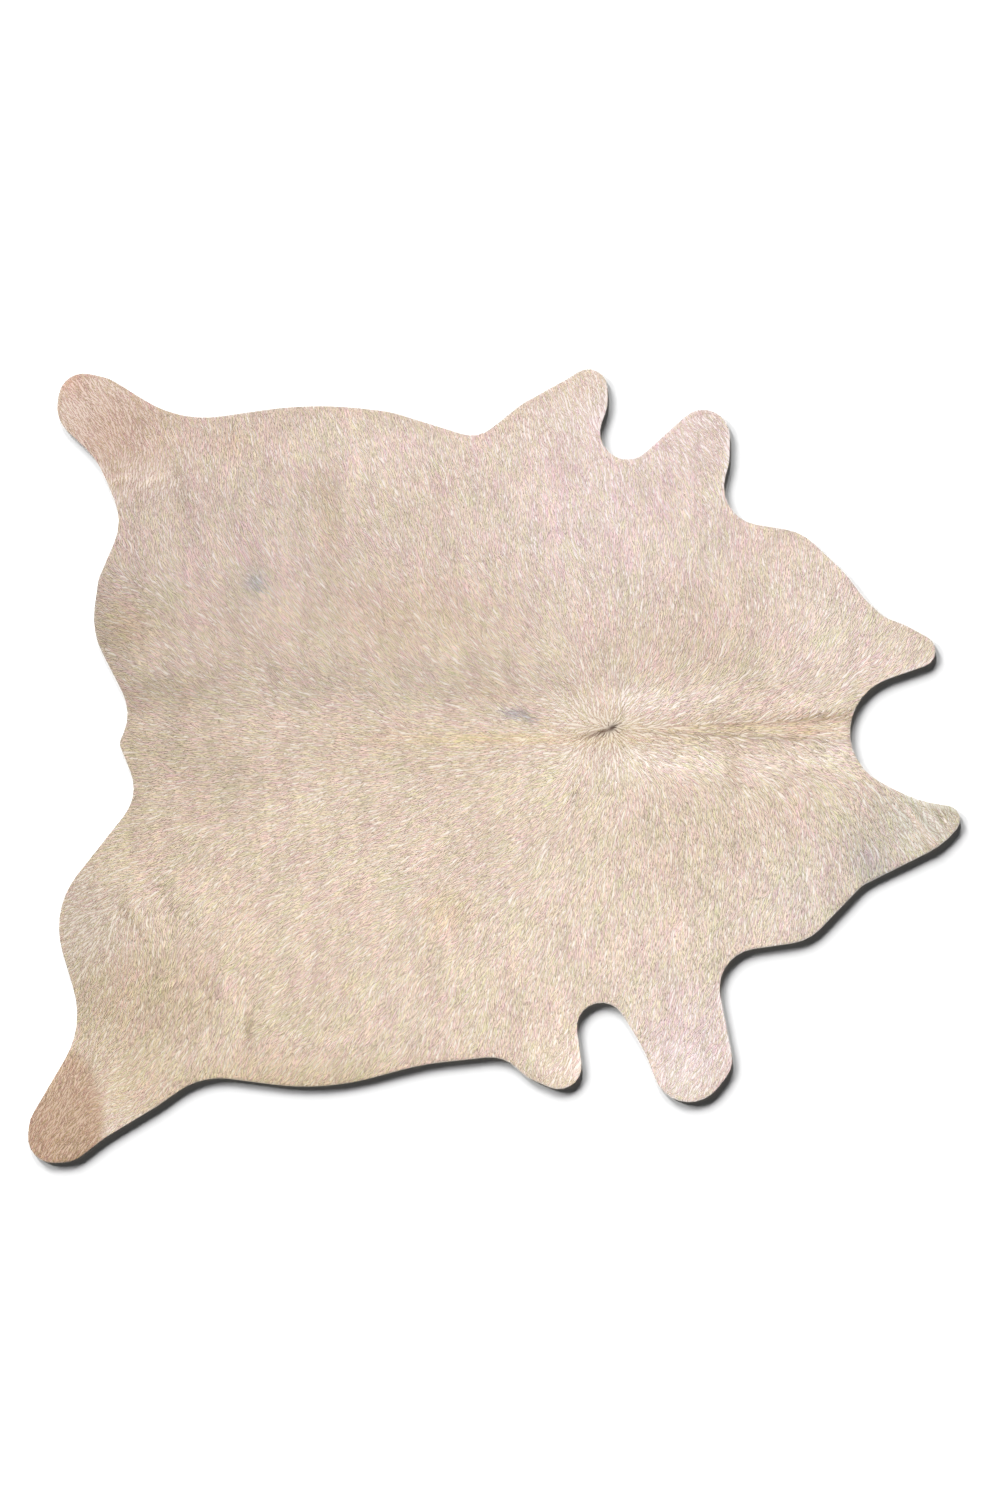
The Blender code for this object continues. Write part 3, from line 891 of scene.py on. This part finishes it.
hair_length = add(COAT, READ, {"Name": "hair_length"}, data_type="FLOAT")
full = add(COAT, MATH, {0: hair_length, 1: chance["length"]}, "MULTIPLY")
wall = add(COAT, "GeometryNodeObjectInfo", {"Object": given["Rim"]}).outputs["Geometry"]
to_rim = []
for way in (heading, back):
    ray = add(COAT, "GeometryNodeRaycast", {
        "Target Geometry": wall, "Source Position": here, "Ray Direction": way,
        "Ray Length": RIM_SIGHT})
    to_rim.append(add(COAT, "GeometryNodeSwitch", {
        "Switch": ray.outputs["Is Hit"], "False": NO_RIM, "True": ray.outputs["Hit Distance"]},
        input_type="FLOAT"))
room = add(COAT, MATH, {
    0: chance["overhang"], 1: given["Overhang"], 2: to_rim[0]}, "MULTIPLY_ADD")
lack = given["Shortest Lock"]
for amount, operation in ((room, "SUBTRACT"), (0.0, "MAXIMUM"), (to_rim[1], "MINIMUM")):
    lack = add(COAT, MATH, {0: lack, 1: amount}, operation)
at_rim = add(COAT, "FunctionNodeCompare", {0: to_rim[1], 1: given["Rim Reach"]}, "LESS_THAN")
shift = add(COAT, "GeometryNodeSwitch", {
    "Switch": at_rim, "False": lack, "True": to_rim[1]}, input_type="FLOAT")
most = add(COAT, MATH, {0: room, 1: shift}, "ADD")
length = add(COAT, MATH, {0: full, 1: most}, "MINIMUM")
print(len(COAT.nodes), "nodes up to the length")

# %% Roots set on the skin
DROP = 20 * MM           # rays start this far above the skin

away = add(COAT, VECTOR, {0: back, "Scale": shift}, "SCALE")
moved = add(COAT, "GeometryNodeSetPosition", {"Geometry": roots, "Offset": away})
above = add(COAT, VECTOR, {0: here, 1: (0.0, 0.0, DROP)}, "ADD")
ahead_by = add(COAT, VECTOR, {0: heading, "Scale": given["Rim Reach"]}, "SCALE")
above_ahead = add(COAT, VECTOR, {0: above, 1: ahead_by}, "ADD")
drops = [add(COAT, "GeometryNodeRaycast", {
    "Target Geometry": given["Geometry"], "Source Position": start,
    "Ray Direction": (0.0, 0.0, -1.0), "Ray Length": 2 * DROP}) for start in (above, above_ahead)]
root, tip = [
    add(COAT, "ShaderNodeSeparateXYZ", {"Vector": drop.outputs["Hit Position"]}) for drop in drops]
# as high as the skin is there or a little ahead, so that no lock dives into a rise
seat = add(COAT, MATH, {0: root.outputs["Z"], 1: tip.outputs["Z"]}, "MAXIMUM")
seat = add(COAT, "ShaderNodeCombineXYZ", {"X": root.outputs["X"], "Y": root.outputs["Y"], "Z": seat})
seated = add(COAT, "GeometryNodeSetPosition", {
    "Geometry": moved, "Selection": drops[0].outputs["Is Hit"], "Position": seat})
tufted = add(COAT, STORE, {
    "Geometry": seated, "Name": "tuft", "Value": tuft}, domain="POINT")
print(len(COAT.nodes), "nodes up to the roots")

# %% [markdown]
# A lock lies almost flat. It is turned along the skin first, then lifted a degree or two at its tip
# and rolled a little, so that locks overlap like tiles and catch the light unevenly.

# %% How each lock lies
LEVEL_SKIN = (0.988, 0.998)     # how far up a normal points, from sloping skin to level skin
TUFT_FULLNESS = (0.4, 0.8)      # a lock's lift is 0.8 times its own between tufts, 1.2 times in one

upright = add(COAT, "ShaderNodeSeparateXYZ", {"Vector": roots.outputs["Normal"]}).outputs["Z"]
level = add(COAT, RANGE, {
    "Value": upright, "From Min": LEVEL_SKIN[0], "From Max": LEVEL_SKIN[1]})
normal = add(COAT, "ShaderNodeMix", {
    "Factor": level, 4: (0.0, 0.0, 1.0), 5: roots.outputs["Normal"]}, data_type="VECTOR")
out_of_skin = add(COAT, VECTOR, {0: heading, 1: normal}, "PROJECT")
flat = add(COAT, VECTOR, {0: heading, 1: out_of_skin}, "SUBTRACT")
flat = add(COAT, VECTOR, {0: flat}, "NORMALIZE")
fullness = add(COAT, MATH, {0: tuft, 1: TUFT_FULLNESS[0], 2: TUFT_FULLNESS[1]}, "MULTIPLY_ADD")
lift = add(COAT, MATH, {0: chance["lift"], 1: fullness}, "MULTIPLY")
rise = add(COAT, MATH, {0: lift}, "TANGENT")
rise = add(COAT, VECTOR, {0: normal, "Scale": rise}, "SCALE")
aim = add(COAT, VECTOR, {0: flat, 1: rise}, "ADD")
turn = add(COAT, "FunctionNodeAlignRotationToVector", {"Vector": aim}, axis="X")
turn = add(COAT, "FunctionNodeAlignRotationToVector", {
    "Rotation": turn, "Vector": normal}, axis="Z", pivot_axis="X")
roll = add(COAT, MATH, {0: chance["roll"], 1: given["Roll"]}, "MULTIPLY")
roll = add(COAT, "ShaderNodeCombineXYZ", {"X": roll})
rolled = add(COAT, "FunctionNodeRotateRotation", {
    "Rotation": turn, "Rotate By": roll}, rotation_space="LOCAL")
print(len(COAT.nodes), "nodes up to the roll")

# %% A lock on every root
WAVE_RANGE = (0.4, 0.6)
KIND_RANGE = (-0.6, 2.6)        # rounded to 0, 1 or 2, so that neighbours bend alike

slim = add(COAT, RANGE, {
    "Value": hair_length, "From Min": 10 * MM, "From Max": 30 * MM, "To Min": 0.6, "To Max": 1.0})
width = add(COAT, MATH, {0: given["Lock Width"], 1: slim}, "MULTIPLY")
width = add(COAT, MATH, {0: width, 1: chance["width"]}, "MULTIPLY")
height = add(COAT, MATH, {0: given["Lock Height"], 1: chance["height"]}, "MULTIPLY")
size = add(COAT, "ShaderNodeCombineXYZ", {"X": length, "Y": width, "Z": height})
shapes = add(COAT, "GeometryNodeJoinGeometry")
for name in reversed(LOCKS):
    shape = add(COAT, "GeometryNodeObjectInfo", {"Object": given[name], "As Instance": True})
    COAT.links.new(shape.outputs["Geometry"], shapes.inputs[0])
bend = add(COAT, RANGE, {
    "Value": wave, "From Min": WAVE_RANGE[0], "From Max": WAVE_RANGE[1],
    "To Min": KIND_RANGE[0], "To Max": KIND_RANGE[1]})
bend = add(COAT, MATH, {0: bend, 1: chance["bend"]}, "ADD")
which = add(COAT, "FunctionNodeFloatToInt", {0: bend}, rounding_mode="ROUND")
locks = add(COAT, "GeometryNodeInstanceOnPoints", {
    "Points": tufted, "Instance": shapes, "Pick Instance": True,
    "Instance Index": which, "Rotation": rolled, "Scale": size})
print(len(COAT.nodes), "nodes up to the locks")

# %% [markdown]
# The locks become real mesh, and what still crosses the rim is pulled back onto it. Each lock then
# gets its own small square on a texture map, counted off in rows, so that its shade can be baked.

# %% Real locks, trimmed at the rim
shaded = add(COAT, STORE, {
    "Geometry": locks, "Name": "lock_shade", "Value": chance["shade"]}, domain="INSTANCE")
number = add(COAT, "GeometryNodeInputIndex")
counted = add(COAT, STORE, {
    "Geometry": shaded, "Name": "lock_number", "Value": number}, domain="INSTANCE")
count = add(COAT, "GeometryNodeAttributeDomainSize", {"Geometry": counted}, component="INSTANCES")
real = add(COAT, "GeometryNodeRealizeInstances", {"Geometry": counted})
rim_normal = add(COAT, "GeometryNodeInputNormal").outputs[0]
cut_place, cut_side = [add(COAT, "GeometryNodeSampleNearestSurface", {
    "Mesh": wall, "Value": value, "Sample Position": here}, data_type="FLOAT_VECTOR")
    for value in (here, rim_normal)]
past = add(COAT, VECTOR, {0: here, 1: cut_place}, "SUBTRACT")
past = add(COAT, VECTOR, {0: past, 1: cut_side}, "DOT_PRODUCT")
outside = add(COAT, "FunctionNodeCompare", {0: past, 1: 0.0}, "GREATER_THAN")
cut = add(COAT, "GeometryNodeSetPosition", {
    "Geometry": real, "Selection": outside, "Position": cut_place})
print(len(COAT.nodes), "nodes up to the trim")

# %% A square of the map for each lock
row = add(COAT, MATH, {0: count.outputs["Instance Count"]}, "SQRT")
row = add(COAT, MATH, {0: row}, "CEIL")
lock_number = add(COAT, READ, {"Name": "lock_number"}, data_type="FLOAT")
column = add(COAT, MATH, {0: lock_number, 1: row}, "MODULO")
line = add(COAT, MATH, {0: lock_number, 1: row}, "DIVIDE")
line = add(COAT, MATH, {0: line}, "FLOOR")
corner = add(COAT, "ShaderNodeCombineXYZ", {"X": column, "Y": line})
lock_spot = add(COAT, READ, {"Name": "lock_spot"}, data_type="FLOAT_VECTOR")
spot = add(COAT, VECTOR, {0: corner, 1: lock_spot}, "ADD")
one_square = add(COAT, MATH, {0: 1.0, 1: row}, "DIVIDE")
spot = add(COAT, VECTOR, {0: spot, "Scale": one_square}, "SCALE")
mapped = add(COAT, STORE, {
    "Geometry": cut, "Name": "OFBake", "Value": spot}, data_type="FLOAT2", domain="CORNER")
smooth = add(COAT, "GeometryNodeSetShadeSmooth", {"Geometry": mapped})
worn = add(COAT, "GeometryNodeSetMaterial", {"Geometry": smooth, "Material": given["Hair"]})
add(COAT, "NodeGroupOutput", {"Geometry": worn})
print("tree", COAT.name, "with", len(COAT.nodes), "nodes")

# %% [markdown]
# The coat grows in five bands from rump to neck, so that no piece is too heavy. Each band is the
# skin's own faces there, carried to the modifier with their combing, tints and lengths.

# %% Growing the five bands
BANDS = {        # where each ends along the back
    "coat_rump": -0.61, "coat_loin": -0.285, "coat_ribs": 0.045, "coat_shoulder": 0.40,
    "coat_neck": math.inf,
}
FIRST_SEED = 11
UPWARDS = 0.3            # faces whose normals point further up than this carry hair


def grow(name, low, high, seed):
    """The hair whose roots lie between two places along the back, as one plain mesh."""
    band = bmesh.new()
    band.from_mesh(skin_data)
    band.normal_update()
    other = [f for f in band.faces
             if f.normal.z <= UPWARDS or not low <= f.calc_center_median().x < high]
    bmesh.ops.delete(band, geom=other, context="FACES")
    data = bpy.data.meshes.new(name)
    band.to_mesh(data)
    band.free()
    ground = put(name + "_ground", data)
    modifier = ground.modifiers.new("coat", "NODES")
    modifier.node_group = COAT
    inputs = {**SIZES, **LOCKS, "Seed": seed, "Rim": rim_wall, "Hair": HAIR}
    for item in COAT.interface.items_tree:
        if item.in_out == "INPUT" and item.name in inputs:
            modifier[item.identifier] = inputs[item.name]
    evaluated = ground.evaluated_get(bpy.context.evaluated_depsgraph_get())
    grown = bpy.data.meshes.new_from_object(evaluated)
    bpy.data.objects.remove(ground)
    piece = put(name, grown)
    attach(piece, "root")
    return piece


coat = []
low = -math.inf
for seed, (name, high) in enumerate(BANDS.items(), FIRST_SEED):
    coat.append(grow(name, low, high, seed))
    low = high
    print(name, len(coat[-1].data.polygons), "faces")

# %% [markdown]
# ## The leather
# The skin itself shows at the cut edge and from below. Its top is undercoat, the short dense wool
# between the locks, matt and darker than the hair: partly its own colour, partly painted shade
# between the locks. Its underside is split suede, where the hide was sliced to an even thickness: a
# matt, pale nap with a fine uneven grain. One mesh carries both, and each face takes its material
# from which way it looks.

# %% Undercoat
FUZZ = 3 * MM
UNDERCOAT, wool, wool_shader = new_material("undercoat")
fuzz_place = add(wool, "ShaderNodeTexCoord").outputs["Object"]
fuzz = add(wool, NOISE, {"Vector": fuzz_place, "Scale": 1 / FUZZ, "Detail": 3.0})
# painted shade: the undercoat is darkened, as between the locks
depth = add(wool, RANGE, {"Value": fuzz, "To Min": 0.8, "To Max": 0.95})
wool_tint = add(wool, "ShaderNodeAttribute", attribute_name="coat_tint")
dark = add(wool, VECTOR, {0: wool_tint, "Scale": depth}, "SCALE")
wool.links.new(dark.outputs[0], wool_shader.inputs["Base Color"])
wool_shader.inputs["Roughness"].default_value = 0.85
print("material", UNDERCOAT.name)

# %% Split suede, on the cut edge and the flesh side
NAP = 6 * MM             # far coarser than real nap, so that it shows
NAP_DEPTH = 0.6 * MM
SUEDE, split, suede_shader = new_material("split suede")
nap_place = add(split, "ShaderNodeTexCoord").outputs["Object"]
nap = add(split, NOISE, {"Vector": nap_place, "Scale": 1 / NAP, "Detail": 6.0})
buff = add(split, "ShaderNodeMix", {
    "Factor": nap, 6: linear("C9BBA6"), 7: linear("E1D6C4")}, data_type="RGBA")
bump = add(split, "ShaderNodeBump", {
    "Height": nap.outputs["Fac"], "Distance": NAP_DEPTH, "Strength": 0.6})
split.links.new(buff.outputs[2], suede_shader.inputs["Base Color"])
split.links.new(bump.outputs[0], suede_shader.inputs["Normal"])
suede_shader.inputs["Roughness"].default_value = 0.95
print("material", SUEDE.name)

# %% The skin as a piece
for material in (UNDERCOAT, SUEDE):
    skin_data.materials.append(material)
for face in skin_data.polygons:
    face.material_index = 0 if face.normal.z > UPWARDS else 1
skin_data.shade_smooth()
skin = put("skin", skin_data)
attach(skin, "root")
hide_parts("hide")
print("skin", len(skin_data.polygons), "faces")

# %% [markdown]
# ## Floor and light
# The floor is plain and pale. The picture's light does two things that no single lamp does: it lies
# soft and even on the hair, and it throws a short dark shadow along the lower right rim. So the
# floor has three low lamps of its own through light linking, and the rug a soft key and a wide sky.

# %% Floor
FLOOR_SIZE = 60.0
FLOOR_GAP = 0.2 * MM
bpy.ops.mesh.primitive_plane_add(size=FLOOR_SIZE, location=(0, 0, -FLOOR_GAP))
floor = bpy.context.object
floor.name = "floor"
paint, _, paint_shader = new_material("pale floor paint")
paint_shader.inputs["Base Color"].default_value = linear("F4F4F4")
paint_shader.inputs["Roughness"].default_value = 0.9
floor.data.materials.append(paint)

# %% Light
class Lamp(NamedTuple):
    """A far lamp: where it stands and how wide it looks in degrees, and what it lights."""
    name: str
    compass: float
    height: float
    width: float
    strength: float
    lights: tuple
    shadows_of: tuple


RUG = (skin, *coat)
LAMPS = [Lamp(*row) for row in (
    ("low window, left pane", 99, 5.2, 6.5, 12.9, (floor,), (skin,)),
    ("low window, middle pane", 124, 5.2, 6.5, 17.2, (floor,), (skin,)),
    ("low window, right pane", 149, 5.2, 6.5, 12.9, (floor,), (skin,)),
    ("key", 126, 68, 14, 1.0, RUG, RUG),
    ("sky", 126, 85, 150, 3.39, RUG, RUG),
)]
ROOM_LIGHT = 0.05
for lamp in LAMPS:
    data = bpy.data.lights.new(lamp.name, "SUN")
    data.energy = lamp.strength
    data.angle = math.radians(lamp.width)
    light = put(lamp.name, data)
    compass, height = math.radians(lamp.compass), math.radians(lamp.height)
    aside = math.cos(height)
    towards = Vector((math.cos(compass) * aside, math.sin(compass) * aside, math.sin(height)))
    light.rotation_euler = towards.to_track_quat("Z", "Y").to_euler()
    lit, shading = [
        bpy.data.collections.new(lamp.name + use) for use in (" lights", " is blocked by")]
    for group, things in ((lit, lamp.lights), (shading, lamp.shadows_of)):
        for thing in things:
            group.objects.link(thing)
    light.light_linking.receiver_collection = lit
    light.light_linking.blocker_collection = shading
    print(lamp.name, "lights", len(lamp.lights), "piece(s)")
world = bpy.data.worlds.new("pale room")
world.use_nodes = True
background = world.node_tree.nodes["Background"].inputs
background["Color"].default_value = (1, 1, 1, 1)
background["Strength"].default_value = ROOM_LIGHT
SCENE.world = world
SCENE.view_settings.view_transform = "Standard"

# %% Faces in all
print("faces in all", sum(len(piece.data.polygons) for piece in RUG))
